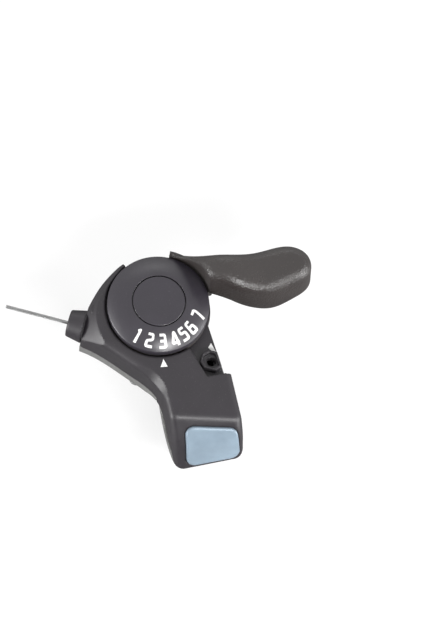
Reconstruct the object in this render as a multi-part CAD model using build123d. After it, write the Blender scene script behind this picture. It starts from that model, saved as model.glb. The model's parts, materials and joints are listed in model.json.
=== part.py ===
from build123d import *
from math import cos, radians, sin
import os

# Handlebar clamp: the origin is the middle of the bar, with X along it
bar_diameter = 22.2
clamp_wall = 3.1
clamp_width = 17.0
clamp_split = 2.4
bar_room = 1.0

# Where the dial axis meets the deck: the pieces are drawn from here and moved when written
dial_offset_x = -6.6
dial_offset_y = 28.2
deck_height = 26.0

# Dial plate and its cap
dial_radius = 15.5
dial_gap = 0.5
dial_rim = 1.6
dial_crown = 4.56
dial_thickness = 1.5
cap_radius = 7.9
cap_gap = 0.3
cap_thickness = 1.2
cap_ledge = 1.4
dial_bow = 0.5
dial_round = 0.5

# Gear positions: angles of the numbers on the dial, drawn with the third one chosen
number_angles = (-133.2, -114.9, -97.0, -79.2, -65.6, -51.0, -28.4)

# Heights of the housing, measured down from the deck
seam_depth = 11.8
floor_depth = 18.0
floor_thickness = 2.4
floor_round = 2.0
skirt_depth = 14.2
free_depth = 4.2
recess_thickness = 2.0
deck_thickness = 2.0
roof_depth = 5.0
wall = 1.8
seat_gap = 0.05

# Plan of the housing
flank_point = (-11.6, -16.7)
flank_heading = (0.85, -0.53)
pod_left = -4.2
pod_right = 17.2
pod_front = -31.0
pod_rear = -47.8
pod_corner = 3.0
shoulder_y = -25.0
shoulder_step = 1.6
free_radius = 16.2
free_start = -29.0
lip_angle = 116.0
lip_room = 1.9
left_wall_room = 2.7
left_wall_angle = 141.0
left_wall_heading = (-0.64, -0.77)
deck_edge_near = (6.4, -14.7)
deck_edge_far = (9.7, -24.8)
strip_end = -25.0
skirt_gap = 0.3
deck_round = 2.3
lip_round = 1.2
well_bevel = 0.4

# Crease of the deck, beyond which the cover slopes down to the flank and the nub: distances from the dial's rim
crease_start = (1.4, 151.0)
crease_middle = (3.9, 187.0)
crease_end = (3.7, 222.0)
crease_slope = 45.0
crease_drop = 8.0
pod_ease = 1.2
waist_round = 10.0

# Sloping rear of the pod
ridge_left = -35.9
ridge_right = -41.3
ridge_ease = 2.6
ridge_drop = 1.1
rear_low = 13.2
rear_bulge = 0.9
rear_tilt = 37.0

# Accent insert in the rear of the pod
insert_centre = (7.5, -44.0, -7.5)
insert_top = (8.0, 5.8)
insert_bottom = -6.4
insert_half_top = 7.6
insert_half_bottom = 8.3
insert_corner = 2.8
insert_depth = 1.6
insert_proud = 0.6
insert_gap = 0.15
insert_round = 0.5

# Inner cable, its nub and its port
cable_heading = -26.7
cable_depth = 7.0
cable_radius = 10.1
wire_diameter = 1.2
wire_reach = 45.0
wire_gap = 0.3
head_diameter = 4.0
head_length = 4.4
nub_reach = 20.4
nub_length = 4.9
nub_base_diameter = 10.2
nub_end_diameter = 8.1
nub_shoulder = 4.9
socket_diameter = 5.2
socket_depth = 3.6
nub_round = 0.6
port_reach = 19.9
port_side = -1.7
port_radius = 1.4
hood_width = 5.8
hood_length = 6.6
hood_depth = 1.6
hood_corner = 1.5
hood_rim = 0.6
hood_margin = 0.4
hood_cup = 1.8

# Thumb lever: outlines of its foot and of its crest, from the collar to the tip, with X from the collar's bore
hub_inset = 0.1
hub_thickness = 3.3
hub_depth = 0.5
collar_gap = 0.5
collar_wall = 1.3
collar_end = 68.5
neck_start = 5.0
neck_end = 66.0
neck_wall = 1.3
neck_room = 0.4
lever_base = 0.6
lever_height = 12.2
lever_margin = 1.8
lever_tip_height = 10.2
lever_dish = 0.9
lever_round = 3.0
foot_round = 0.8
slope_end = (4.9, 8.6)
slope_low = 1.5
slope_lead = 4.0
slope_middle = (9.0, 8.0)
rear_heading = 150.0
paddle_end = 43.5
foot_start = 2.0
foot_front = ((-2.8, 12.3), (5.0, 9.0), (15.5, 8.0), (27.8, 7.4))
foot_tip = (31.8, 1.4)
foot_rear = ((24.8, -6.3), (16.8, -8.0), (9.0, -5.1))
crest_start = 9.0
crest_front = ((-2.8, 12.3), (4.0, 9.4), (15.5, 8.4), (27.4, 9.0))
crest_tip = (31.4, 4.0)
crest_rear = ((22.4, -1.6), (13.0, -3.2), (5.5, -1.2))

# Pivot and winding parts, turning on the spindle
spindle_diameter = 6.0
tail_step = 0.5
running_gap = 0.05
bush_wall = 1.0
drum_radius = 12.0
drum_depth = 4.0
drum_height = 6.0
groove_width = 1.8
key_side = 11.0
key_gap = 0.1
index_radius = 10.0
index_height = 3.3
index_gap = 0.3
notch_radius = 1.3
flange_radius = 6.0
flange_gap = 0.15
washer_radius = 6.2
washer_thickness = 0.8
washer_gap = 0.1
wave_thickness = 0.65
pivot_thread_diameter = 4.0
pivot_head_radius = 3.8
pivot_head_height = 1.7
pivot_depth = 8.0
recess_width = 1.0
recess_depth = 0.9

# Click spring and its pins
click_angle = 200.0
spring_spread = 32.0
spring_thickness = 0.6
spring_height = 2.8
nose_spread = 10.0
spring_room = 3.2
pin_radius = 1.2
pin_gap = 0.1

# Fasteners
screw_diameter = 3.0
screw_head_diameter = 5.2
screw_head_height = 2.0
boss_radius = 2.2
screw_cable_place = (-17.2, 4.3)
screw_pod_place = (-8.9, -15.2)
bolt_diameter = 5.0
bolt_clearance = 0.2
bolt_head_diameter = 8.5
bolt_head_height = 5.0
bolt_socket = 4.0
bolt_reach = 4.2
lug_width = 11.0
lug_margin = 5.0
lug_height = 4.8
nut_flats = 8.0
nut_height = 4.0
clamp_washer_diameter = 10.0
clamp_washer_thickness = 1.0
hinge_reach = 12.9
hinge_radius = 2.3
hinge_pin_diameter = 2.5
knuckle_width = 7.0
knuckle_gap = 0.2


def polar(radius, angle):
    return (radius * cos(radians(angle)), radius * sin(radians(angle)))


def along_cable(distance, side=0.0):
    start = polar(cable_radius, cable_heading - 90)
    ahead = polar(distance, cable_heading)
    across = polar(side, cable_heading + 90)
    return (start[0] + ahead[0] + across[0], start[1] + ahead[1] + across[1])


# Sizes that follow from the ones above
bar_radius = bar_diameter / 2
clamp_radius = bar_radius + clamp_wall
bar_x = -dial_offset_x
bar_y = -dial_offset_y
bar_z = -deck_height
floor_top = floor_thickness - floor_depth
well_radius = dial_radius + dial_gap
lip_radius = dial_radius + lip_room
left_wall_radius = dial_radius + left_wall_room
hub_radius = dial_radius - hub_inset
collar_inner = dial_radius + collar_gap
lever_blank = lever_height + lever_margin
hub_top = -hub_depth
hub_bottom = hub_top - hub_thickness
drum_top = -drum_depth
drum_bottom = drum_top - drum_height
index_top = drum_bottom - index_gap
index_bottom = index_top - index_height
spindle_radius = spindle_diameter / 2
bush_inner = spindle_radius + running_gap
bush_outer = bush_inner + bush_wall
washer_bottom = hub_top + wave_thickness + 2 * washer_gap
washer_top = washer_bottom + washer_thickness
wire_radius = wire_diameter / 2
bolt_y = bar_y + clamp_radius + bolt_reach
neck_inner = collar_inner + seat_gap
neck_outer = neck_inner + neck_wall
tail_radius = spindle_radius - tail_step
hinge_y = bar_y - hinge_reach
strap_lug_bottom = bar_z - clamp_split / 2 - lug_height
bolt_hole = bolt_diameter / 2 + bolt_clearance
screw_places = (along_cable(*screw_cable_place), screw_pod_place)
pin_orbit = index_radius + spring_room + pin_radius
pin_places = (polar(pin_orbit, click_angle - spring_spread), polar(pin_orbit, click_angle + spring_spread))
gear_turns = [number_angles[2] - angle for angle in number_angles]
head_angle = cable_heading + 270 - min(gear_turns)
reach = 2 * wire_reach

os.makedirs("parts", exist_ok=True)


def write(name, shape):
    export_step(Pos(dial_offset_x, dial_offset_y, deck_height) * shape, f"parts/{name}.step")


def post(radius, low, high, place=(0, 0)):
    body = Cylinder(radius, high - low, align=(Align.CENTER, Align.CENTER, Align.MIN))
    return Pos(place[0], place[1], low) * body


def tube(inner, outer, low, high, place=(0, 0)):
    return post(outer, low, high, place) - post(inner, low, high, place)


def block(x, y, z):
    size = (x[1] - x[0], y[1] - y[0], z[1] - z[0])
    return Pos(x[0], y[0], z[0]) * Box(*size, align=Align.MIN)


def bar_rod(radius, width, y=bar_y, z=bar_z):
    return Pos(bar_x, y, z) * Rot(0, 90, 0) * Cylinder(radius, width)


def sector(inner, outer, start, end, low, high):
    section = Plane.XZ * Pos((inner + outer) / 2, (low + high) / 2) * Rectangle(outer - inner, high - low)
    return Rot(0, 0, start) * revolve(section, Axis.Z, end - start)


def cable_rod(radius, start, end, end_radius=None):
    place = along_cable(start)
    plane = Plane((*place, -cable_depth), z_dir=(*polar(1, cable_heading), 0))
    far = radius if end_radius is None else end_radius
    if far == radius:
        body = Cylinder(radius, end - start, align=(Align.CENTER, Align.CENTER, Align.MIN))
    else:
        body = Cone(radius, far, end - start, align=(Align.CENTER, Align.CENTER, Align.MIN))
    return plane * body


def housing_outline(inset=0.0):
    # Plan of the housing, or of the space within its wall
    nub_low = along_cable(inset - nub_reach, inset - nub_shoulder)
    nub_high = along_cable(inset - nub_reach, nub_shoulder - inset)
    flank_inward = Vector(-flank_heading[1], flank_heading[0]).normalized()
    flank = Vector(*flank_point) + flank_inward * inset
    pod_turn = (pod_left + inset, pod_front)
    rear_left = (pod_left + inset, pod_rear + inset)
    rear_right = (pod_right - inset, pod_rear + inset)
    shoulder = (pod_right - inset, shoulder_y - inset)
    step = (pod_right - shoulder_step - inset, shoulder_y - inset)
    free_low = polar(free_radius - inset, free_start)
    free_middle = polar(free_radius - inset, (free_start + lip_angle) / 2)
    free_high = polar(free_radius - inset, lip_angle)
    lip = polar(lip_radius - inset, lip_angle)
    left_wall = polar(left_wall_radius - inset, left_wall_angle)
    lip_heading = polar(1, lip_angle + 90)
    edges = [
        Line(nub_high, nub_low),
        Spline(nub_low, flank, pod_turn, tangents=[flank_heading, (0, -1)]),
        Line(pod_turn, rear_left),
        Line(rear_left, rear_right),
        Line(rear_right, shoulder),
        Line(shoulder, step),
        Line(step, free_low),
        ThreePointArc(free_low, free_middle, free_high),
        Line(free_high, lip),
        Spline(lip, left_wall, nub_high, tangents=[lip_heading, left_wall_heading]),
    ]
    face = make_face(Curve() + edges)
    rear_corners = face.vertices().sort_by(Axis.Y)[:2]
    return fillet(rear_corners, pod_corner - inset)


def rear_space(proud=0.0):
    # The space above and behind the pod, ruled between its left and right edges
    out = Pos(-proud * cos(radians(rear_tilt)), proud * sin(radians(rear_tilt)))
    sections = []
    for x, ridge_y in ((pod_left, ridge_left), (pod_right, ridge_right)):
        start = Vector(ridge_y + ridge_ease, 0)
        ridge = Vector(ridge_y, -ridge_drop)
        foot = Vector(pod_rear, -rear_low)
        bulge = Vector(-cos(radians(rear_tilt)), sin(radians(rear_tilt))) * rear_bulge
        behind = Vector(pod_rear - reach, -rear_low)
        edges = [
            Spline(start, ridge, (ridge + foot) / 2 + bulge, foot, tangents=[(-1, 0), (foot - ridge)]),
            Line(foot, behind),
            Line(behind, (pod_rear - reach, reach)),
            Line((pod_rear - reach, reach), (start.X, reach)),
            Line((start.X, reach), start),
        ]
        plane = Plane((x, 0, 0), x_dir=(0, 1, 0), z_dir=(1, 0, 0))
        sections.append(plane * (out * make_face(Curve() + edges)))
    return loft(sections, ruled=True)


def insert_prism(grow=0.0):
    corners = [
        (-insert_half_top, insert_top[0]),
        (insert_half_top, insert_top[1]),
        (insert_half_bottom, insert_bottom),
        (-insert_half_bottom, insert_bottom),
    ]
    face = make_face(Polyline(*corners, close=True))
    face = fillet(face.vertices(), insert_corner)
    if grow:
        face = offset(face, grow)
    normal = (0, -cos(radians(rear_tilt)), sin(radians(rear_tilt)))
    plane = Plane(insert_centre, x_dir=(1, 0, 0), z_dir=normal)
    return extrude(plane * face, rear_low, both=True)


def free_zone(low, high):
    # The part of the plan that the lever sweeps, with the port recess beside it
    corners = [
        (0, 0),
        deck_edge_near,
        deck_edge_far,
        (reach, deck_edge_far[1]),
        (reach, reach),
        polar(reach, lip_angle),
    ]
    return Pos(0, 0, low) * extrude(make_face(Polyline(*corners, close=True)), high - low)


def deck_slope():
    # The space under the deck and under the slope outside its crease
    places = (crease_start, crease_middle, crease_end)
    start, middle, end = [polar(dial_radius + out, turn) for out, turn in places]
    crease = ThreePointArc(start, middle, end)
    along = crease.tangent_at(1)
    turn_x = pod_left + pod_ease
    turn = (turn_x, end[1] + (turn_x - end[0]) * along.Y / along.X)
    back = crease.position_at(0) - crease.tangent_at(0) * reach
    corners = [end, turn, (turn_x, -reach), (reach, -reach), (reach, back.Y), (back.X, back.Y), start]
    face = make_face(Curve() + [crease, Polyline(*corners)])
    face = fillet(face.vertices().sort_by_distance((*turn, 0))[0], waist_round)
    below = block((-reach, reach), (-reach, reach), (-reach, -crease_drop))
    return extrude(face, -crease_drop, taper=-crease_slope) + below


def edge_at(body, x, y, z=0):
    return min(body.edges(), key=lambda edge: edge.distance_to((x, y, z)))


def round_deck(body):
    rear = min(body.faces(), key=lambda face: face.distance_to(insert_centre))
    soft = rear.edges().sort_by(Axis.Z)[1:-1]
    soft.append(edge_at(body, *flank_point))
    soft.append(edge_at(body, pod_left, (pod_front + ridge_left) / 2))
    soft.append(edge_at(body, pod_right, (shoulder_y + ridge_right) / 2))
    body = fillet(soft, deck_round)
    crisp = [
        edge_at(body, *polar(left_wall_radius, left_wall_angle)),
        edge_at(body, *along_cable(-nub_reach)),
    ]
    return fillet(crisp, lip_round)


def hood_outline(inset):
    ahead = hood_length / 2 - inset
    side = hood_width / 2 - inset
    corners = [
        along_cable(port_reach - ahead, port_side - side),
        along_cable(port_reach + ahead, port_side - side),
        along_cable(port_reach + ahead, port_side + side),
        along_cable(port_reach - ahead, port_side + side),
    ]
    face = make_face(Polyline(*corners, close=True))
    return chamfer(face.vertices(), hood_corner)


def prism(face, low, high):
    return Pos(0, 0, low) * extrude(face, high - low)


def make_cover(outline):
    # Outer form, rounded along the deck
    pod_zone = block((-reach, reach), (-reach, strip_end - skirt_gap), (-reach, 0))
    body = prism(outline, -seam_depth, 0) + (prism(outline, -skirt_depth, -seam_depth) & pod_zone)
    body = round_deck(body - rear_space()) & deck_slope()

    # Hollow from below, lower in the zone that the lever sweeps
    inside = housing_outline(wall)
    recess_bottom = -free_depth - recess_thickness
    hollow = prism(inside, -skirt_depth, -roof_depth) - rear_space(-insert_depth - wall)
    hollow = hollow - free_zone(recess_bottom, reach)
    body = body - hollow - free_zone(-free_depth, reach)

    # Screw bosses, then the dial well with the drum's opening under it
    for place in screw_places:
        body = body + post(boss_radius, floor_top, -deck_thickness / 2, place)
        body = body - post(screw_diameter / 2 + seat_gap, floor_top, -deck_thickness, place)
    body = body - post(well_radius, -free_depth, reach)
    bevel = Cone(well_radius, well_radius + well_bevel, well_bevel)
    body = body - Pos(0, 0, -well_bevel / 2) * bevel
    body = body - post(free_radius - wall, -seam_depth, -free_depth)

    # Cable nub at one end of the cable line, hooded port at the other
    nub_end = -nub_reach - nub_length
    nub = cable_rod(nub_end_diameter / 2, nub_end, -nub_reach, nub_base_diameter / 2)
    rim = nub.edges().filter_by(GeomType.CIRCLE).sort_by_distance((*along_cable(nub_end), -cable_depth))[0]
    body = body + fillet(rim, nub_round)
    body = body - cable_rod(socket_diameter / 2, nub_end, nub_end + socket_depth)
    body = body - cable_rod(wire_radius + wire_gap, nub_end, -drum_radius)
    hood = prism(hood_outline(0), -free_depth, -hood_depth)
    cup = prism(hood_outline(hood_rim), -hood_depth - hood_cup, 0)
    sweep = post(neck_outer + neck_room, -free_depth, 0)
    body = body + ((hood - sweep) & prism(housing_outline(hood_margin), -reach, 0))
    cup = cup & prism(housing_outline(hood_margin + hood_rim), -reach, 0)
    body = body - (cup - post(neck_outer + neck_room + hood_rim, -free_depth, 0))
    body = body - post(port_radius, recess_bottom, 0, along_cable(port_reach, port_side))

    # Room for the bar clamp, and the seat of the insert
    body = body - bar_rod(clamp_radius + wire_gap, clamp_width + 2 * wire_gap)
    pocket = insert_prism(insert_gap) & rear_space(-insert_depth)
    return body - pocket


def make_insert():
    body = (insert_prism() & rear_space(seat_gap - insert_depth)) - rear_space(insert_proud)
    outside = body.faces().sort_by(SortBy.AREA)[-2:].sort_by(Axis.Y)[0]
    return fillet(outside.edges(), insert_round)


def make_bracket(outline):
    # Tray under the cover, with its wall up to the seam
    strip_zone = block((-reach, reach), (strip_end, reach), (-reach, reach))
    inside = housing_outline(wall)
    tray = prism(outline, -floor_depth, -seam_depth)
    tray = fillet(edge_at(tray, *flank_point, -floor_depth), floor_round)
    tray = tray - prism(inside, floor_top, -seam_depth)
    tray = (tray & strip_zone) - bar_rod(bar_radius + bar_room, reach)

    # Upper half of the bar clamp, with the bolt boss in front and ears behind
    split_top = bar_z + clamp_split / 2
    upper = block((-reach, reach), (-reach, reach), (split_top, reach))
    body = tray + (bar_rod(clamp_radius, clamp_width) & upper)
    lug_y = (bar_y, bolt_y + lug_margin)
    body = body + block((bar_x - lug_width / 2, bar_x + lug_width / 2), lug_y, (split_top, floor_top))
    body = body + bar_rod(hinge_radius, clamp_width, hinge_y)
    body = body - bar_rod(hinge_radius + wire_gap, knuckle_width + 2 * knuckle_gap, hinge_y)
    body = body - bar_rod(hinge_pin_diameter / 2 + seat_gap, clamp_width, hinge_y)
    body = body - bar_rod(bar_radius, reach)

    # Holes for the bolt, the nut, the spindle, the pins and the cover screws
    bolt_place = (bar_x, bolt_y)
    body = body - post(bolt_hole, -reach, floor_top, bolt_place)
    nut = RegularPolygon(nut_flats / 2 + seat_gap, 6, major_radius=False)
    body = body - Pos(bar_x, bolt_y) * prism(nut, floor_top - nut_height, floor_top)
    body = body - post(tail_radius + seat_gap, -floor_depth, floor_top)
    for place in pin_places:
        body = body - post(pin_radius + seat_gap, -floor_depth, floor_top, place)
    for place in screw_places:
        body = body - post(screw_diameter / 2 + seat_gap, -floor_depth, floor_top, place)
        body = body - post(boss_radius + seat_gap, floor_top, -seam_depth, place)
    return body


def make_strap():
    split_bottom = bar_z - clamp_split / 2
    lower = block((-reach, reach), (-reach, reach), (-reach, split_bottom))
    body = bar_rod(clamp_radius, clamp_width) & lower
    lug_y = (bar_y, bolt_y + lug_margin)
    lug_z = (split_bottom - lug_height, split_bottom)
    body = body + block((bar_x - lug_width / 2, bar_x + lug_width / 2), lug_y, lug_z)
    ear_space = bar_rod(hinge_radius + wire_gap, clamp_width, hinge_y)
    body = body - (ear_space - bar_rod(hinge_radius + wire_gap, knuckle_width, hinge_y))
    body = body + bar_rod(hinge_radius, knuckle_width, hinge_y)
    body = body - bar_rod(hinge_pin_diameter / 2 + seat_gap, clamp_width, hinge_y)
    body = body - bar_rod(bar_radius, reach)
    return body - post(bolt_hole, -reach, bar_z, (bar_x, bolt_y))


def lever_point(place):
    return (collar_inner + place[0], place[1])


def lever_space():
    # The space above the lever: up the slope from the collar's tip, then along the dished paddle
    start = Vector(*polar(collar_inner + collar_wall / 2, collar_end))
    run = Vector(*lever_point(slope_end)) - start
    side = Vector(run.Y, -run.X).normalized()
    crest = (run.length, lever_height)
    tip = (paddle_end, lever_tip_height)
    dish = ((crest[0] + tip[0]) / 2, (crest[1] + tip[1]) / 2 - lever_dish)
    rise = (lever_height - slope_low) / run.length
    low = (-slope_lead, slope_low - slope_lead * rise)
    edges = [
        Line((-reach, slope_low - reach * rise), low),
        Spline(low, slope_middle, crest, dish, tip, tangents=[(1, rise), (1, 0)]),
        Line(tip, (reach, lever_tip_height)),
        Line((reach, lever_tip_height), (reach, reach)),
        Line((reach, reach), (-reach, reach)),
        Line((-reach, reach), (-reach, slope_low - reach * rise)),
    ]
    plane = Plane(start, x_dir=run.normalized(), z_dir=side).offset(-reach / 2)
    return extrude(plane * make_face(Curve() + edges), reach)


def lever_outline(start, front, tip, rear, height):
    front = [lever_point(place) for place in front]
    rear = [lever_point(place) for place in rear]
    tip = lever_point(tip)
    inner = polar(collar_inner, start)
    middle = polar(collar_inner, (start + collar_end) / 2)
    outer = polar(collar_inner, collar_end)
    point = polar(collar_inner + collar_wall, collar_end)
    edges = [
        ThreePointArc(inner, middle, outer),
        Line(outer, point),
        Spline(point, *front, tip, tangents=[polar(1, collar_end - 90), (0, -1)]),
        Spline(tip, *rear, inner, tangents=[(0, -1), polar(1, start + rear_heading)]),
    ]
    return Pos(0, 0, height) * make_face(Curve() + edges)


def make_lever():
    foot = lever_outline(foot_start, foot_front, foot_tip, foot_rear, lever_base)
    crest = lever_outline(crest_start, crest_front, crest_tip, crest_rear, lever_blank)
    blade = loft([foot, crest]) - lever_space()
    blade = fillet(edge_at(blade, *lever_point(crest_tip), lever_tip_height), lever_round)
    blade = fillet(edge_at(blade, *lever_point(foot_tip), lever_base), foot_round)
    neck = sector(hub_radius - wall, neck_outer, neck_start, neck_end, hub_bottom, lever_base + wall)
    neck = neck - post(neck_inner, hub_top, reach)
    hub = post(hub_radius, hub_bottom, hub_top)
    hub = hub - prism(Rectangle(key_side + 2 * key_gap, key_side + 2 * key_gap), hub_bottom, hub_top)
    return blade + (neck + hub)


def make_dial():
    ledge_top = dial_crown - cap_thickness
    cap_seat = cap_radius + cap_gap
    hole = cap_seat - cap_ledge
    inner_rim = dial_radius - dial_thickness
    section = [
        Line((hole, ledge_top), (cap_seat, ledge_top)),
        Line((cap_seat, ledge_top), (cap_seat, dial_crown)),
        ThreePointArc((cap_seat, dial_crown), dial_middle(dial_bow), (dial_radius, dial_rim)),
        Line((dial_radius, dial_rim), (dial_radius, hub_top)),
        Line((dial_radius, hub_top), (inner_rim, hub_top)),
        Line((inner_rim, hub_top), (inner_rim, dial_rim - dial_thickness / 2)),
        Line((inner_rim, dial_rim - dial_thickness / 2), (hole, ledge_top - dial_thickness / 2)),
        Line((hole, ledge_top - dial_thickness / 2), (hole, ledge_top)),
    ]
    face = make_face(Curve() + section)
    face = fillet(face.vertices().sort_by_distance((dial_radius, dial_rim, 0))[0], dial_round)
    return revolve(Plane.XZ * face, Axis.Z)


def dial_middle(bow):
    inner = cap_radius + cap_gap
    return ((inner + dial_radius) / 2, (dial_crown + dial_rim) / 2 + bow)


def make_cap():
    top = dial_crown
    body = post(cap_radius, top - cap_thickness, top)
    body = fillet(body.edges().sort_by(Axis.Z)[-1], cap_gap)
    outer = cap_radius - cap_ledge
    low = top - 2 * cap_thickness + cap_gap
    return body + tube(outer - cap_thickness / 2, outer, low, top - cap_thickness)


def make_drum():
    groove_floor = cable_radius - wire_radius
    body = post(drum_radius, drum_bottom, drum_top)
    groove = tube(groove_floor, drum_radius, -cable_depth - groove_width / 2, -cable_depth + groove_width / 2)
    body = body - groove
    key = Rectangle(key_side, key_side)
    body = body + prism(key, drum_top, hub_top) + prism(key, index_bottom, drum_bottom)
    head_place = polar(cable_radius, head_angle)
    body = body - post(head_diameter / 2 + seat_gap, -cable_depth - head_length / 2, reach, head_place)
    return body - post(bush_outer + seat_gap, -reach, reach)


def make_index_ring():
    hole = Rectangle(key_side + 2 * key_gap, key_side + 2 * key_gap)
    body = post(index_radius, index_bottom, index_top) - prism(hole, index_bottom, index_top)
    for turn in gear_turns:
        place = polar(index_radius + index_gap, click_angle - turn)
        body = body - post(notch_radius, index_bottom, index_top, place)
    return body


def make_click_spring():
    shoulder = index_radius + notch_radius
    nose = index_radius - index_gap
    end = pin_orbit - pin_radius - pin_gap - spring_thickness / 2
    points = [
        polar(end, click_angle - spring_spread),
        polar(shoulder, click_angle - nose_spread),
        polar(nose, click_angle),
        polar(shoulder, click_angle + nose_spread),
        polar(end, click_angle + spring_spread),
    ]
    strip = trace(FilletPolyline(*points, radius=spring_thickness), spring_thickness)
    return prism(strip, index_bottom + index_gap, index_bottom + index_gap + spring_height)


def make_spindle():
    flange_top = index_bottom - flange_gap
    body = post(spindle_radius, flange_top, washer_bottom) + post(flange_radius, floor_top, flange_top)
    body = body + post(tail_radius, -floor_depth, floor_top)
    thread = pivot_thread_diameter / 2 + seat_gap
    return body - post(thread, washer_bottom - pivot_depth, washer_bottom)


def make_pivot_screw():
    head_top = washer_top + pivot_head_height
    body = post(pivot_head_radius, washer_top, head_top)
    body = fillet(body.edges().sort_by(Axis.Z)[-1], pivot_head_height / 2)
    slots = Rectangle(pivot_head_radius, recess_width) + Rectangle(recess_width, pivot_head_radius)
    body = body - prism(slots, head_top - recess_depth, head_top)
    return body + post(pivot_thread_diameter / 2, washer_bottom - pivot_depth + wall, washer_top)


def make_cable_head():
    plane = Plane((*along_cable(0), -cable_depth), z_dir=(*polar(1, cable_heading), 0))
    turn = head_angle - (cable_heading + 270)
    wound = revolve(plane * Circle(wire_radius), Axis.Z, turn)
    place = polar(cable_radius, head_angle)
    middle = -cable_depth
    return wound + post(head_diameter / 2, middle - head_length / 2, middle + head_length / 2, place)


def make_bolt():
    low = strap_lug_bottom - clamp_washer_thickness
    body = post(bolt_head_diameter / 2, low - bolt_head_height, low)
    body = fillet(body.edges().sort_by(Axis.Z)[0], recess_depth / 2)
    socket = RegularPolygon(bolt_socket / 2, 6, major_radius=False)
    body = body - prism(socket, low - bolt_head_height, low - bolt_head_height / 2)
    body = body + post(bolt_diameter / 2, low, floor_top)
    return Pos(bar_x, bolt_y) * body


def make_cover_screws():
    screws = []
    for place in screw_places:
        body = post(screw_head_diameter / 2, -floor_depth - screw_head_height, -floor_depth, place)
        body = fillet(body.edges().sort_by(Axis.Z)[0], screw_head_height / 2)
        slot = Pos(*place) * Rectangle(screw_diameter, recess_width)
        cross = Pos(*place) * Rectangle(recess_width, screw_diameter)
        low = -floor_depth - screw_head_height
        body = body - prism(slot + cross, low, low + recess_depth)
        screws.append(body + post(screw_diameter / 2, -floor_depth, -deck_thickness - wall, place))
    return Compound(screws)


def make_clamp_washer():
    bottom = strap_lug_bottom - clamp_washer_thickness
    return tube(bolt_hole, clamp_washer_diameter / 2, bottom, strap_lug_bottom, (bar_x, bolt_y))


def make_clamp_nut():
    face = RegularPolygon(nut_flats / 2, 6, major_radius=False) - Circle(bolt_diameter / 2 + seat_gap)
    return Pos(bar_x, bolt_y) * prism(face, floor_top - nut_height, floor_top)


outline = housing_outline()
write("cover", make_cover(outline))
write("accent_insert", make_insert())
write("bracket", make_bracket(outline))
write("clamp_strap", make_strap())
write("thumb_lever", make_lever())
write("dial_plate", make_dial())
write("centre_cap", make_cap())
write("cable_drum", make_drum())
write("drum_bush", tube(bush_inner, bush_outer, index_bottom, hub_top))
write("index_ring", make_index_ring())
write("cable_head", make_cable_head())
write("click_spring", make_click_spring())
write("spring_pins", Compound([post(pin_radius, -floor_depth, index_top, place) for place in pin_places]))
write("spindle", make_spindle())
write("wave_washer", tube(bush_inner, washer_radius, hub_top + washer_gap, washer_bottom - washer_gap))
write("pivot_washer", tube(pivot_thread_diameter / 2 + seat_gap, washer_radius, washer_bottom, washer_top))
write("pivot_screw", make_pivot_screw())
write("inner_wire", cable_rod(wire_radius, -wire_reach, -wire_gap))
write("cover_screws", make_cover_screws())
write("clamp_bolt", make_bolt())
write("clamp_washer", make_clamp_washer())
write("clamp_nut", make_clamp_nut())
write("hinge_pin", bar_rod(hinge_pin_diameter / 2, clamp_width, hinge_y))
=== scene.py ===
import json
import math

import bpy
import numpy as np
from mathutils import Matrix, Vector


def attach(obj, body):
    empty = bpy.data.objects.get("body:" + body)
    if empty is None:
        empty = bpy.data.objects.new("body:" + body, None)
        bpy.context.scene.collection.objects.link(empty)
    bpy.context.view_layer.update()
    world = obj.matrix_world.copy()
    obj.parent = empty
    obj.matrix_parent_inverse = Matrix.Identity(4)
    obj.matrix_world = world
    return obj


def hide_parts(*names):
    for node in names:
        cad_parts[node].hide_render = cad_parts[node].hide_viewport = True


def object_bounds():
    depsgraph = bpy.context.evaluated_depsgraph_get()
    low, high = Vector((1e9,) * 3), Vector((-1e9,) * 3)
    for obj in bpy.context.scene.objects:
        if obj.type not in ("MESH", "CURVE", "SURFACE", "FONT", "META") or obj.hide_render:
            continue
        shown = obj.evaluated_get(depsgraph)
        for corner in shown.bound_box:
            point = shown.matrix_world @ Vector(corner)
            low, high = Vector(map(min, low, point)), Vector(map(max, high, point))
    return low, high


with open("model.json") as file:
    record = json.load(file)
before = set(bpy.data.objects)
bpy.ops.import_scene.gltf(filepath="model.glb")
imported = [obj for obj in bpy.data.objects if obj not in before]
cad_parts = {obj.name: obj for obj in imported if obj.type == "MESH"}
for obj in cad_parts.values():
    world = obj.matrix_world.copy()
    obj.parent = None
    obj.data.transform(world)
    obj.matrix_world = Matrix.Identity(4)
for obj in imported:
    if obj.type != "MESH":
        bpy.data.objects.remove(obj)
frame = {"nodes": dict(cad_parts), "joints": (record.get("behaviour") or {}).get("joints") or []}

cadBox = [[float(v) for v in corner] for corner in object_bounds()]
mm = 0.001
scene = bpy.context.scene
nodes = frame["nodes"]
print("frame loaded:", len(nodes), "nodes")

# The dial axis where it meets the deck: every added mark is placed from here, in millimetres
leverJoint = next(j for j in frame["joints"] if j["name"] == "lever_turn")
dialPoint = np.array(leverJoint["pos_m"])


# Camera: the photo's viewing angle, and the pixel where the dial point falls in the 421 by 631 frame
viewCamera = dict(azimuth=-26.0, elevation=70.0, roll=14.0, distance=0.6,
                  pixelsPerMetre=3300.0, dialPixel=(158.2, 306.0), frame=(421, 631), sensor=36.0)


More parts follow.
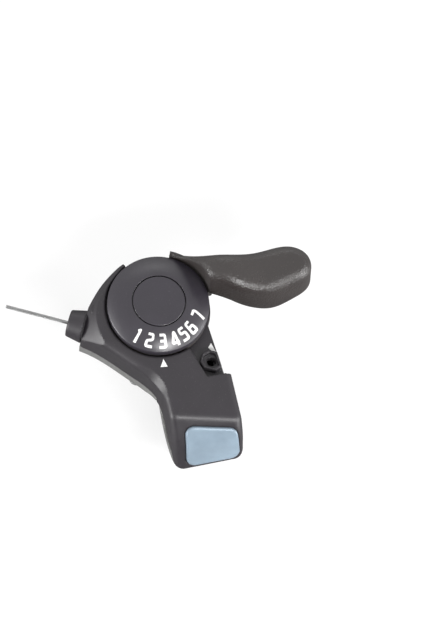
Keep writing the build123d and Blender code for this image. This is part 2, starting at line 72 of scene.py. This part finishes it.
def buildCamera(c):
    az, el, roll = (math.radians(c[k]) for k in ("azimuth", "elevation", "roll"))
    back = Vector((math.sin(az) * math.cos(el), -math.cos(az) * math.cos(el), math.sin(el)))
    level = Vector((math.cos(az), math.sin(az), 0))
    rise = back.cross(level)
    right = level * math.cos(roll) + rise * math.sin(roll)
    up = rise * math.cos(roll) - level * math.sin(roll)
    across = (c["frame"][0] / 2 - c["dialPixel"][0]) / c["pixelsPerMetre"]
    above = (c["dialPixel"][1] - c["frame"][1] / 2) / c["pixelsPerMetre"]
    aim = Vector(dialPoint) + right * across + up * above
    data = bpy.data.cameras.new("photoView")
    data.sensor_width = c["sensor"]
    data.lens = c["pixelsPerMetre"] * c["sensor"] * c["distance"] / c["frame"][1]
    cam = bpy.data.objects.new("photoView", data)
    turn = Matrix((right, up, back)).transposed().to_4x4()
    cam.matrix_world = Matrix.Translation(aim + back * c["distance"]) @ turn
    scene.collection.objects.link(cam)
    scene.camera = cam


buildCamera(viewCamera)
print("camera set")


# Shader groups that several finishes share
def newGroup(name, inputs, outputs):
    group = bpy.data.node_groups.new(name, "ShaderNodeTree")
    for label, kind, value in inputs:
        socket = group.interface.new_socket(label, in_out="INPUT", socket_type=kind)
        if value is not None:
            socket.default_value = value
    for label, kind in outputs:
        group.interface.new_socket(label, in_out="OUTPUT", socket_type=kind)
    return group, group.nodes.new("NodeGroupInput"), group.nodes.new("NodeGroupOutput")


def addNode(tree, kind, values=None, **settings):
    node = tree.nodes.new(kind)
    for key, value in settings.items():
        setattr(node, key, value)
    for key, value in (values or {}).items():
        node.inputs[key].default_value = value
    return node


def joinMath(tree, operation, a, b, clamp=False):
    node = addNode(tree, "ShaderNodeMath", operation=operation, use_clamp=clamp)
    for socket, value in zip(node.inputs, (a, b)):
        if isinstance(value, (int, float)):
            socket.default_value = value
        else:
            tree.links.new(value, socket)
    return node.outputs[0]


def spread(tree, value, low, high, toLow, toHigh):
    node = addNode(tree, "ShaderNodeMapRange",
                   {"From Min": low, "From Max": high, "To Min": toLow, "To Max": toHigh})
    tree.links.new(value, node.inputs["Value"])
    return node.outputs["Result"]


def buildMouldedGrain():
    # Height: pebbles from a cell pattern, softened by fine noise; Patch: slow cloudy change of gloss
    group, gin, gout = newGroup(
        "mouldedGrain",
        [("Vector", "NodeSocketVector", None), ("Cells", "NodeSocketFloat", 1400.0),
         ("Fine", "NodeSocketFloat", 4200.0)],
        [("Height", "NodeSocketFloat"), ("Patch", "NodeSocketFloat")])
    link = group.links.new
    cells = addNode(group, "ShaderNodeTexVoronoi", {"Randomness": 0.95}, feature="SMOOTH_F1")
    fine = addNode(group, "ShaderNodeTexNoise", {"Detail": 3.0, "Roughness": 0.6})
    patch = addNode(group, "ShaderNodeTexNoise", {"Scale": 130.0, "Detail": 3.0, "Roughness": 0.55})
    for node in (cells, fine, patch):
        link(gin.outputs["Vector"], node.inputs["Vector"])
    link(gin.outputs["Cells"], cells.inputs["Scale"])
    link(gin.outputs["Fine"], fine.inputs["Scale"])
    height = joinMath(group, "MULTIPLY", fine.outputs["Fac"], 0.55)
    height = joinMath(group, "ADD", height, cells.outputs["Distance"])
    link(height, gout.inputs["Height"])
    link(spread(group, patch.outputs["Fac"], 0.3, 0.7, 0.0, 1.0), gout.inputs["Patch"])
    return group


def buildEdgeWear():
    # Wear: how far a rounded normal leans from the true one, broken up by noise
    group, gin, gout = newGroup(
        "edgeWear",
        [("Vector", "NodeSocketVector", None), ("Radius", "NodeSocketFloat", 0.0003),
         ("Break", "NodeSocketFloat", 900.0)],
        [("Wear", "NodeSocketFloat"), ("Normal", "NodeSocketVector")])
    link = group.links.new
    soft = addNode(group, "ShaderNodeBevel", samples=4)
    true = addNode(group, "ShaderNodeNewGeometry")
    lean = addNode(group, "ShaderNodeVectorMath", operation="DOT_PRODUCT")
    rough = addNode(group, "ShaderNodeTexNoise", {"Detail": 4.0, "Roughness": 0.7})
    link(gin.outputs["Radius"], soft.inputs["Radius"])
    link(gin.outputs["Vector"], rough.inputs["Vector"])
    link(gin.outputs["Break"], rough.inputs["Scale"])
    link(soft.outputs["Normal"], lean.inputs[0])
    link(true.outputs["Normal"], lean.inputs[1])
    edge = spread(group, lean.outputs["Value"], 0.98, 0.8, 0.0, 1.0)
    broken = spread(group, rough.outputs["Fac"], 0.42, 0.62, 0.0, 1.0)
    link(joinMath(group, "MULTIPLY", edge, broken, True), gout.inputs["Wear"])
    link(soft.outputs["Normal"], gout.inputs["Normal"])
    return group


def buildHandlingFilm():
    # Dust: specks that gather on faces that look up; Smear: long soft streaks from wiping
    group, gin, gout = newGroup(
        "handlingFilm", [("Vector", "NodeSocketVector", None)],
        [("Dust", "NodeSocketFloat"), ("Smear", "NodeSocketFloat")])
    link = group.links.new
    specks = addNode(group, "ShaderNodeTexNoise", {"Scale": 2600.0, "Detail": 2.0, "Roughness": 0.5})
    lay = addNode(group, "ShaderNodeNewGeometry")
    split = addNode(group, "ShaderNodeSeparateXYZ")
    stretch = addNode(group, "ShaderNodeMapping", {"Scale": (1.0, 0.16, 1.0), "Rotation": (0.0, 0.0, 0.6)})
    streak = addNode(group, "ShaderNodeTexNoise", {"Scale": 420.0, "Detail": 5.0, "Roughness": 0.6})
    link(gin.outputs["Vector"], specks.inputs["Vector"])
    link(gin.outputs["Vector"], stretch.inputs["Vector"])
    link(stretch.outputs["Vector"], streak.inputs["Vector"])
    link(lay.outputs["Normal"], split.inputs["Vector"])
    fallen = spread(group, specks.outputs["Fac"], 0.66, 0.74, 0.0, 1.0)
    upward = spread(group, split.outputs["Z"], 0.3, 1.0, 0.0, 1.0)
    link(joinMath(group, "MULTIPLY", fallen, upward, True), gout.inputs["Dust"])
    link(spread(group, streak.outputs["Fac"], 0.35, 0.7, 0.0, 1.0), gout.inputs["Smear"])
    return group


mouldedGrain = buildMouldedGrain()
edgeWear = buildEdgeWear()
handlingFilm = buildHandlingFilm()
print("shader groups built")


# Finishes: one dictionary for each, in linear colour; lengths in metres
finishes = {
    "coverPlastic": dict(color=(0.0148, 0.0120, 0.0160), worn=(0.05, 0.048, 0.048), rough=(0.32, 0.42),
                         cells=2400.0, fine=5200.0, bump=0.22, depth=0.00006, bevel=0.0008, wear=0.25,
                         dust=0.05, ior=1.58, graze=0.8),
    "dialPlastic": dict(color=(0.0172, 0.0138, 0.0215), worn=(0.05, 0.05, 0.052), rough=(0.27, 0.36),
                        cells=3000.0, fine=6500.0, bump=0.12, depth=0.00003, bevel=0.0002, wear=0.4, dust=0.05,
                        ior=1.65, graze=0.6),
    "leverPlastic": dict(color=(0.018, 0.013, 0.0118), worn=(0.05, 0.043, 0.04), rough=(0.17, 0.27),
                         cells=1700.0, fine=3000.0, bump=0.6, depth=0.00018, bevel=0.0030, wear=0.2, dust=0.05,
                         ior=1.7, graze=0.7),
    "drumPlastic": dict(color=(0.09, 0.09, 0.088), worn=(0.16, 0.16, 0.155), rough=(0.42, 0.55),
                        cells=1800.0, fine=4200.0, bump=0.10, depth=0.00004, bevel=0.0003, wear=0.5, dust=0.0),
    "accentPlastic": dict(color=(0.235, 0.305, 0.372), worn=(0.50, 0.58, 0.66), rough=(0.28, 0.38),
                          cells=2600.0, fine=6000.0, bump=0.05, depth=0.00003, bevel=0.0010, wear=0.4,
                          dust=0.04, metallic=0.2, coat=0.2),
    "bracketAlloy": dict(color=(0.19, 0.19, 0.186), worn=(0.42, 0.42, 0.41), rough=(0.46, 0.60),
                         cells=1500.0, fine=3600.0, bump=0.12, depth=0.00005, bevel=0.0004, wear=0.7, dust=0.03,
                         metallic=0.35),
    "plainSteel": dict(color=(0.46, 0.46, 0.47), worn=(0.7, 0.7, 0.7), rough=(0.24, 0.38),
                       cells=1200.0, fine=5200.0, bump=0.04, depth=0.00002, bevel=0.0002, wear=0.5, dust=0.0,
                       metallic=1.0),
    "wireSteel": dict(color=(0.34, 0.34, 0.34), worn=(0.62, 0.62, 0.62), rough=(0.26, 0.40),
                      cells=2600.0, fine=8000.0, bump=0.03, depth=0.00001, bevel=0.00005, wear=0.4, dust=0.0,
                      metallic=1.0),
    "bushBrass": dict(color=(0.55, 0.36, 0.13), worn=(0.72, 0.55, 0.28), rough=(0.24, 0.36),
                      cells=1400.0, fine=5200.0, bump=0.04, depth=0.00002, bevel=0.0002, wear=0.4, dust=0.0,
                      metallic=1.0),
    "printWhite": dict(color=(0.84, 0.84, 0.83), worn=(0.45, 0.45, 0.45), rough=(0.42, 0.55),
                       cells=3200.0, fine=7000.0, bump=0.04, depth=0.00002, bevel=0.0001, wear=0.0, dust=0.0),
}


# What every finish shares: gloss of a clear coat, depth of cloudiness, colour of dust, how soon gloss fades
everyFinish = dict(coatRough=0.12, cloud=0.1, dustColor=(0.5, 0.49, 0.47, 1.0), grazeBlend=0.3)


def buildFinish(name, f):
    mat = bpy.data.materials.new(name)
    mat.use_nodes = True
    tree = mat.node_tree
    link = tree.links.new
    shader = tree.nodes["Principled BSDF"]
    shader.inputs["Metallic"].default_value = f.get("metallic", 0.0)
    shader.inputs["IOR"].default_value = f.get("ior", 1.5)
    shader.inputs["Coat Weight"].default_value = f.get("coat", 0.0)
    shader.inputs["Coat Roughness"].default_value = everyFinish["coatRough"]
    place = addNode(tree, "ShaderNodeTexCoord")
    grain = addNode(tree, "ShaderNodeGroup", node_tree=mouldedGrain)
    wear = addNode(tree, "ShaderNodeGroup", node_tree=edgeWear)
    film = addNode(tree, "ShaderNodeGroup", node_tree=handlingFilm)
    for node in (grain, wear, film):
        link(place.outputs["Object"], node.inputs["Vector"])
    grain.inputs["Cells"].default_value = f["cells"]
    grain.inputs["Fine"].default_value = f["fine"]
    wear.inputs["Radius"].default_value = f["bevel"]
    # Colour: the base, a little cloudy, lighter on worn edges, then a trace of dust
    # In a Mix node of colours, inputs 6 and 7 are the two colours and output 2 is the result
    darker, lighter = 1.0 - everyFinish["cloud"], 1.0 + everyFinish["cloud"]
    cloud = addNode(tree, "ShaderNodeMix", data_type="RGBA")
    cloud.inputs[6].default_value = tuple(darker * c for c in f["color"]) + (1.0,)
    cloud.inputs[7].default_value = tuple(lighter * c for c in f["color"]) + (1.0,)
    link(grain.outputs["Patch"], cloud.inputs["Factor"])
    rubbed = addNode(tree, "ShaderNodeMix", data_type="RGBA")
    rubbed.inputs[7].default_value = f["worn"] + (1.0,)
    link(joinMath(tree, "MULTIPLY", wear.outputs["Wear"], f["wear"]), rubbed.inputs["Factor"])
    link(cloud.outputs[2], rubbed.inputs[6])
    dusty = addNode(tree, "ShaderNodeMix", data_type="RGBA")
    dusty.inputs[7].default_value = everyFinish["dustColor"]
    link(joinMath(tree, "MULTIPLY", film.outputs["Dust"], f["dust"]), dusty.inputs["Factor"])
    link(rubbed.outputs[2], dusty.inputs[6])
    link(dusty.outputs[2], shader.inputs["Base Color"])
    # Roughness: between its two values by the smears and the patches, half each
    smears = joinMath(tree, "MULTIPLY", film.outputs["Smear"], 0.5)
    patches = joinMath(tree, "MULTIPLY", grain.outputs["Patch"], 0.5)
    mixed = joinMath(tree, "ADD", smears, patches)
    gloss = spread(tree, mixed, 0.0, 1.0, *f["rough"])
    if "graze" in f:  # moulded grain hides its own gloss when it is seen edge on
        lean = addNode(tree, "ShaderNodeLayerWeight", {"Blend": everyFinish["grazeBlend"]})
        veil = joinMath(tree, "MULTIPLY", lean.outputs["Facing"], f["graze"])
        gloss = joinMath(tree, "ADD", gloss, veil, True)
    link(gloss, shader.inputs["Roughness"])
    bump = addNode(tree, "ShaderNodeBump", {"Strength": f["bump"], "Distance": f["depth"]})
    link(grain.outputs["Height"], bump.inputs["Height"])
    link(wear.outputs["Normal"], bump.inputs["Normal"])
    link(bump.outputs["Normal"], shader.inputs["Normal"])
    return mat


finish = {name: buildFinish(name, f) for name, f in finishes.items()}
nodeFinish = {
    "coverPlastic": ("cover",),
    "dialPlastic": ("dial_plate", "centre_cap"),
    "leverPlastic": ("thumb_lever",),
    "drumPlastic": ("cable_drum",),
    "accentPlastic": ("accent_insert",),
    "bracketAlloy": ("bracket", "clamp_strap"),
    "plainSteel": ("spindle", "pivot_screw", "pivot_washer", "wave_washer", "index_ring", "click_spring",
                   "spring_pins", "cover_screws", "hinge_pin", "clamp_bolt", "clamp_washer", "clamp_nut"),
    "wireSteel": ("inner_wire", "cable_head"),
    "bushBrass": ("drum_bush",),
}
for finishName, names in nodeFinish.items():
    for name in names:
        mesh = nodes[name].data
        mesh.materials.clear()
        mesh.materials.append(finish[finishName])
print("finishes set on", sum(len(n) for n in nodeFinish.values()), "nodes")


# New pieces: grids of points in millimetres from the dial point, put into a mesh in metres
def gridFaces(rows, columns, closed=False):
    # Four-sided faces between neighbouring rows and columns; closed joins the last column to the first
    r = np.arange(rows - 1)[:, None]
    c = np.arange(columns if closed else columns - 1)[None, :]
    n = (c + 1) % columns
    near, far = r * columns, (r + 1) * columns
    return np.stack([near + c, near + n, far + n, far + c], axis=-1).reshape(-1, 4)


def makePiece(name, points, faces, body, mat, depth=0.0):
    mesh = bpy.data.meshes.new(name)
    mesh.from_pydata((points * mm + dialPoint).tolist(), [], faces)
    mesh.polygons.foreach_set("use_smooth", np.full(len(mesh.polygons), depth == 0.0))
    mesh.materials.append(mat)
    mesh.validate()
    obj = bpy.data.objects.new(name, mesh)
    scene.collection.objects.link(obj)
    if depth:  # a sheet of print gets a closed underside, sunk into the face that carries it
        solid = obj.modifiers.new("printDepth", "SOLIDIFY")
        solid.thickness, solid.offset = depth * mm, -1.0
    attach(obj, body)
    return obj


# Prints stand a little proud of their face and reach into it
printed = dict(proud=0.03, depth=0.08, layer=0.004)

# Dial numbers: flat ribbons along the strokes of each figure, laid on the dial's curved face
dialFace = dict(inner=(8.2, 4.56), middle=(11.85, 3.58), outer=(15.5, 1.6))
dialNumbers = dict(radius=12.4, angles=(-133.2, -114.9, -97.0, -79.2, -65.6, -51.0, -28.4),
                   size=(0.95, 0.88), stroke=0.76, corner=0.40, step=0.06, columns=5)
figureStrokes = {
    1: [[(-0.62, 1.35), (0.0, 1.98), (0.12, 1.98), (0.12, -2.42)]],
    2: [[(-0.95, 1.95), (0.87, 1.95), (0.87, 0.25), (-0.87, -0.25), (-0.87, -1.95), (1.0, -1.95)]],
    3: [[(-1.0, 1.95), (0.87, 1.95), (0.87, -1.95), (-1.0, -1.95)], [(-0.75, 0.0), (0.8, 0.0)]],
    4: [[(0.58, -2.42), (0.42, 1.98), (0.02, 1.98), (-1.05, -1.35), (1.05, -1.35)]],
    5: [[(1.0, 1.95), (-0.87, 1.95), (-0.87, 0.3), (0.87, 0.3), (0.87, -1.95), (-1.0, -1.95)]],
    6: [[(0.85, 1.95), (-0.87, 1.95), (-0.87, -1.95), (0.87, -1.95), (0.87, 0.2), (-0.8, 0.2)]],
    7: [[(-1.5, 1.95), (0.47, 1.95), (0.47, 1.3), (-0.65, -2.42)]],
}


def dialHeight(r):
    # Circle through the three points of the dial's face, solved for the height at radius r
    (x1, z1), (x2, z2), (x3, z3) = dialFace["inner"], dialFace["middle"], dialFace["outer"]
    a = np.array([[x2 - x1, z2 - z1], [x3 - x1, z3 - z1]]) * 2.0
    b = np.array([x2**2 - x1**2 + z2**2 - z1**2, x3**2 - x1**2 + z3**2 - z1**2])
    cx, cz = np.linalg.solve(a, b)
    return cz + np.sqrt((x1 - cx)**2 + (z1 - cz)**2 - (r - cx)**2)


def roundedPath(points, corner, step):
    # Corners cut by a short curve from one leg to the next, then even steps along the whole line
    p = np.array(points, dtype=float)
    t = np.linspace(0.0, 1.0, 9)[:, None]
    path = [p[:1]]
    for before, at, after in zip(p, p[1:], p[2:]):
        inLeg, outLeg = before - at, after - at
        start = at + inLeg * min(corner / np.linalg.norm(inLeg), 0.5)
        end = at + outLeg * min(corner / np.linalg.norm(outLeg), 0.5)
        path.append((1 - t)**2 * start + 2 * t * (1 - t) * at + t**2 * end)
    line = np.vstack(path + [p[-1:]])
    line = line[np.r_[True, np.linalg.norm(np.diff(line, axis=0), axis=1) > 1e-6]]
    run = np.r_[0.0, np.cumsum(np.linalg.norm(np.diff(line, axis=0), axis=1))]
    at = np.linspace(0.0, run[-1], int(run[-1] / step) + 2)
    return np.stack([np.interp(at, run, line[:, k]) for k in (0, 1)], axis=-1)


def strokeGrid(path, width, columns):
    # Each row crosses the path at a right angle, from half the width on one side to the other
    heading = np.gradient(path, axis=0)
    heading /= np.linalg.norm(heading, axis=1)[:, None]
    across = np.stack([heading[:, 1], -heading[:, 0]], axis=-1)
    side = np.linspace(-width / 2, width / 2, columns)
    return path[:, None, :] + across[:, None, :] * side[None, :, None]


def buildNumbers(d):
    # Across a figure becomes a turn round the dial and up it a smaller radius; the dial's arc gives the height
    points, faces, count = [], [], 0
    for number, strokes in figureStrokes.items():
        middle = math.radians(d["angles"][number - 1])
        for layer, stroke in enumerate(strokes):
            scaled = np.array(stroke) * d["size"]
            grid = strokeGrid(roundedPath(scaled, d["corner"], d["step"]), d["stroke"], d["columns"])
            radius = d["radius"] - grid[..., 1]
            angle = middle + grid[..., 0] / d["radius"]
            height = dialHeight(radius) + printed["proud"] + printed["layer"] * layer
            laid = np.stack([radius * np.cos(angle), radius * np.sin(angle), height], axis=-1)
            points.append(laid.reshape(-1, 3))
            faces += (gridFaces(*grid.shape[:2]) + count).tolist()
            count += len(points[-1])
    makePiece("dialNumbers", np.vstack(points), faces, "lever",
              finish["printWhite"], printed["depth"])


buildNumbers(dialNumbers)

# Pointer on the deck under the chosen number, and the mark in the port recess
deckPointer = dict(radius=18.15, angle=-97.0, width=2.1, height=2.5)
recessMark = dict(corners=((13.79, -13.38), (12.61, -14.62), (13.55, -16.0), (14.6, -16.42)), face=-4.2)


def buildPointer(d):
    # A flat triangle with its tip toward the dial
    turn = math.radians(d["angle"])
    outward = np.array([math.cos(turn), math.sin(turn)])
    side = np.array([-math.sin(turn), math.cos(turn)])
    r, w, h = d["radius"], d["width"] / 2, d["height"] / 2
    flat = np.array([outward * (r - h), outward * (r + h) - side * w, outward * (r + h) + side * w])
    points = np.column_stack([flat, np.full(3, printed["proud"])])
    makePiece("deckPointer", points, [(0, 1, 2)], "housing",
              finish["printWhite"], printed["depth"])


def buildMark(d):
    # A flat patch of four corners on the floor of the recess
    points = np.column_stack([np.array(d["corners"]), np.full(4, d["face"] + printed["proud"])])
    makePiece("recessMark", points, [(0, 1, 2, 3)], "housing",
              finish["printWhite"], printed["depth"])


buildPointer(deckPointer)
buildMark(recessMark)
print("numbers, pointer and mark placed")


# Inner wire: nineteen strands, one straight, six and twelve wound round it, each a tube along its helix
wireRun = dict(radius=10.1, heading=-26.7, depth=-7.0, start=-44.9, end=-0.4, strand=0.22, pitch=9.0,
               rows=220, columns=7, layers=((1, 0.0, 0.0), (6, 0.22, 0.0), (12, 0.425, 0.13)))


def buildWire(w):
    # Each strand: a small circle carried along the wire, its middle going once round its orbit in a pitch
    turn = math.radians(w["heading"])
    ahead = np.array([math.cos(turn), math.sin(turn), 0.0])
    side = np.array([-math.sin(turn), math.cos(turn), 0.0])
    up = np.array([0.0, 0.0, 1.0])
    origin = np.array([math.sin(turn), -math.cos(turn), 0.0]) * w["radius"] + up * w["depth"]
    along = np.linspace(w["start"], w["end"], w["rows"])
    around = np.linspace(0.0, 2 * math.pi, w["columns"], endpoint=False)
    ring = np.arange(w["columns"])
    points, faces, count = [], [], 0
    for strands, orbit, phase in w["layers"]:
        for k in range(strands):
            angle = 2 * math.pi * (along / w["pitch"] + k / strands + phase)
            x = orbit * np.cos(angle)[:, None] + w["strand"] / 2 * np.cos(around)[None, :]
            z = orbit * np.sin(angle)[:, None] + w["strand"] / 2 * np.sin(around)[None, :]
            tube = origin + along[:, None, None] * ahead + x[..., None] * side + z[..., None] * up
            points.append(tube.reshape(-1, 3))
            last = count + (w["rows"] - 1) * w["columns"]
            faces += (gridFaces(w["rows"], w["columns"], True) + count).tolist()
            faces += [(count + ring[::-1]).tolist(), (last + ring).tolist()]  # the two end caps
            count += w["rows"] * w["columns"]
    piece = makePiece("strandedWire", np.vstack(points), faces, "cable", finish["wireSteel"])
    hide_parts("inner_wire")


buildWire(wireRun)
print("wire laid")


# Studio: pale floor under the clamp, a white surround and four strip lamps
studio = dict(floorSize=1.2, floorColor=0.95, floorRough=0.9, floorGlow=0.72, floorShine=0.45,
              floorFade=(0.12, 0.4), ambient=0.45, front=0.7, frontFade=(-0.95, -0.45))
lamps = (  # name, direction from the dial, distance, size, watts
    ("frontStrip", (0.12, -0.64, 0.76), 0.70, (0.28, 0.10), 2.9),
    ("rightStrip", (0.80, -0.54, 0.26), 0.60, (0.40, 0.14), 3.4),
    ("leftStrip", (-0.97, -0.08, 0.24), 0.60, (0.36, 0.12), 3.2),
    ("backStrip", (0.15, 0.87, 0.47), 0.70, (0.40, 0.10), 0.4))


def seenRays(tree):
    # One for rays from the eye, from a shiny face or through a clear one, and nothing for the rest
    rays = addNode(tree, "ShaderNodeLightPath")
    seen = joinMath(tree, "ADD", rays.outputs["Is Camera Ray"], rays.outputs["Is Glossy Ray"], True)
    return joinMath(tree, "ADD", seen, rays.outputs["Is Transmission Ray"], True)


def buildWorld(w):
    # White to the eye and to reflections, which darken toward the viewer's side; a plain grey on the rest
    world = bpy.data.worlds.new("studio")
    scene.world = world
    world.use_nodes = True
    tree = world.node_tree
    background = tree.nodes["Background"]
    background.inputs["Color"].default_value = (1, 1, 1, 1)
    toward = addNode(tree, "ShaderNodeTexCoord")
    split = addNode(tree, "ShaderNodeSeparateXYZ")
    tree.links.new(toward.outputs["Generated"], split.inputs["Vector"])
    rays = addNode(tree, "ShaderNodeLightPath")
    ahead = spread(tree, split.outputs["Y"], *w["frontFade"], w["front"], 0.0)
    dim = joinMath(tree, "MULTIPLY", ahead, rays.outputs["Is Glossy Ray"])
    white = spread(tree, seenRays(tree), 0.0, 1.0, w["ambient"], 1.0)
    tree.links.new(joinMath(tree, "SUBTRACT", white, dim), background.inputs["Strength"])


def buildFloor(w):
    # A white sheet that keeps a soft shadow: mostly white to the eye, the rest lit as paper is,
    # wholly white far from the part, and greyer in reflections
    half = w["floorSize"] / 2
    low = cadBox[0][2] - 0.0001  # just under the clamp
    corners = [(-half, -half, low), (half, -half, low), (half, half, low), (-half, half, low)]
    mesh = bpy.data.meshes.new("floorSheet")
    mesh.from_pydata(corners, [], [(0, 1, 2, 3)])
    mat = bpy.data.materials.new("floorWhite")
    mat.use_nodes = True
    tree = mat.node_tree
    link = tree.links.new
    paper = tree.nodes["Principled BSDF"]
    paper.inputs["Base Color"].default_value = (w["floorColor"],) * 3 + (1.0,)
    paper.inputs["Roughness"].default_value = w["floorRough"]
    eye = addNode(tree, "ShaderNodeLightPath").outputs["Is Camera Ray"]
    glow = addNode(tree, "ShaderNodeEmission", {"Color": (1, 1, 1, 1)})
    link(spread(tree, eye, 0.0, 1.0, w["floorShine"], 1.0), glow.inputs["Strength"])
    spot = addNode(tree, "ShaderNodeTexCoord")
    reach = addNode(tree, "ShaderNodeVectorMath", operation="LENGTH")
    link(spot.outputs["Object"], reach.inputs[0])
    shade = spread(tree, reach.outputs["Value"], *w["floorFade"], 1.0 - w["floorGlow"], 0.0)
    share = joinMath(tree, "SUBTRACT", 1.0, joinMath(tree, "MULTIPLY", eye, shade))
    mix = addNode(tree, "ShaderNodeMixShader")
    link(joinMath(tree, "MULTIPLY", seenRays(tree), share), mix.inputs[0])
    link(paper.outputs[0], mix.inputs[1])
    link(glow.outputs[0], mix.inputs[2])
    link(mix.outputs[0], tree.nodes["Material Output"].inputs["Surface"])
    mesh.materials.append(mat)
    floor = bpy.data.objects.new("floorSheet", mesh)
    scene.collection.objects.link(floor)


def buildLamps():
    for name, toward, distance, size, watts in lamps:
        data = bpy.data.lights.new(name, "AREA")
        data.shape = "RECTANGLE"
        data.size, data.size_y = size
        data.energy = watts
        lamp = bpy.data.objects.new(name, data)
        lamp.location = Vector(dialPoint) + Vector(toward).normalized() * distance
        lamp.rotation_euler = (-Vector(toward)).to_track_quat("-Z", "Y").to_euler()
        scene.collection.objects.link(lamp)


buildWorld(studio)
buildFloor(studio)
buildLamps()
scene.view_settings.view_transform = "Standard"
print("studio lit")
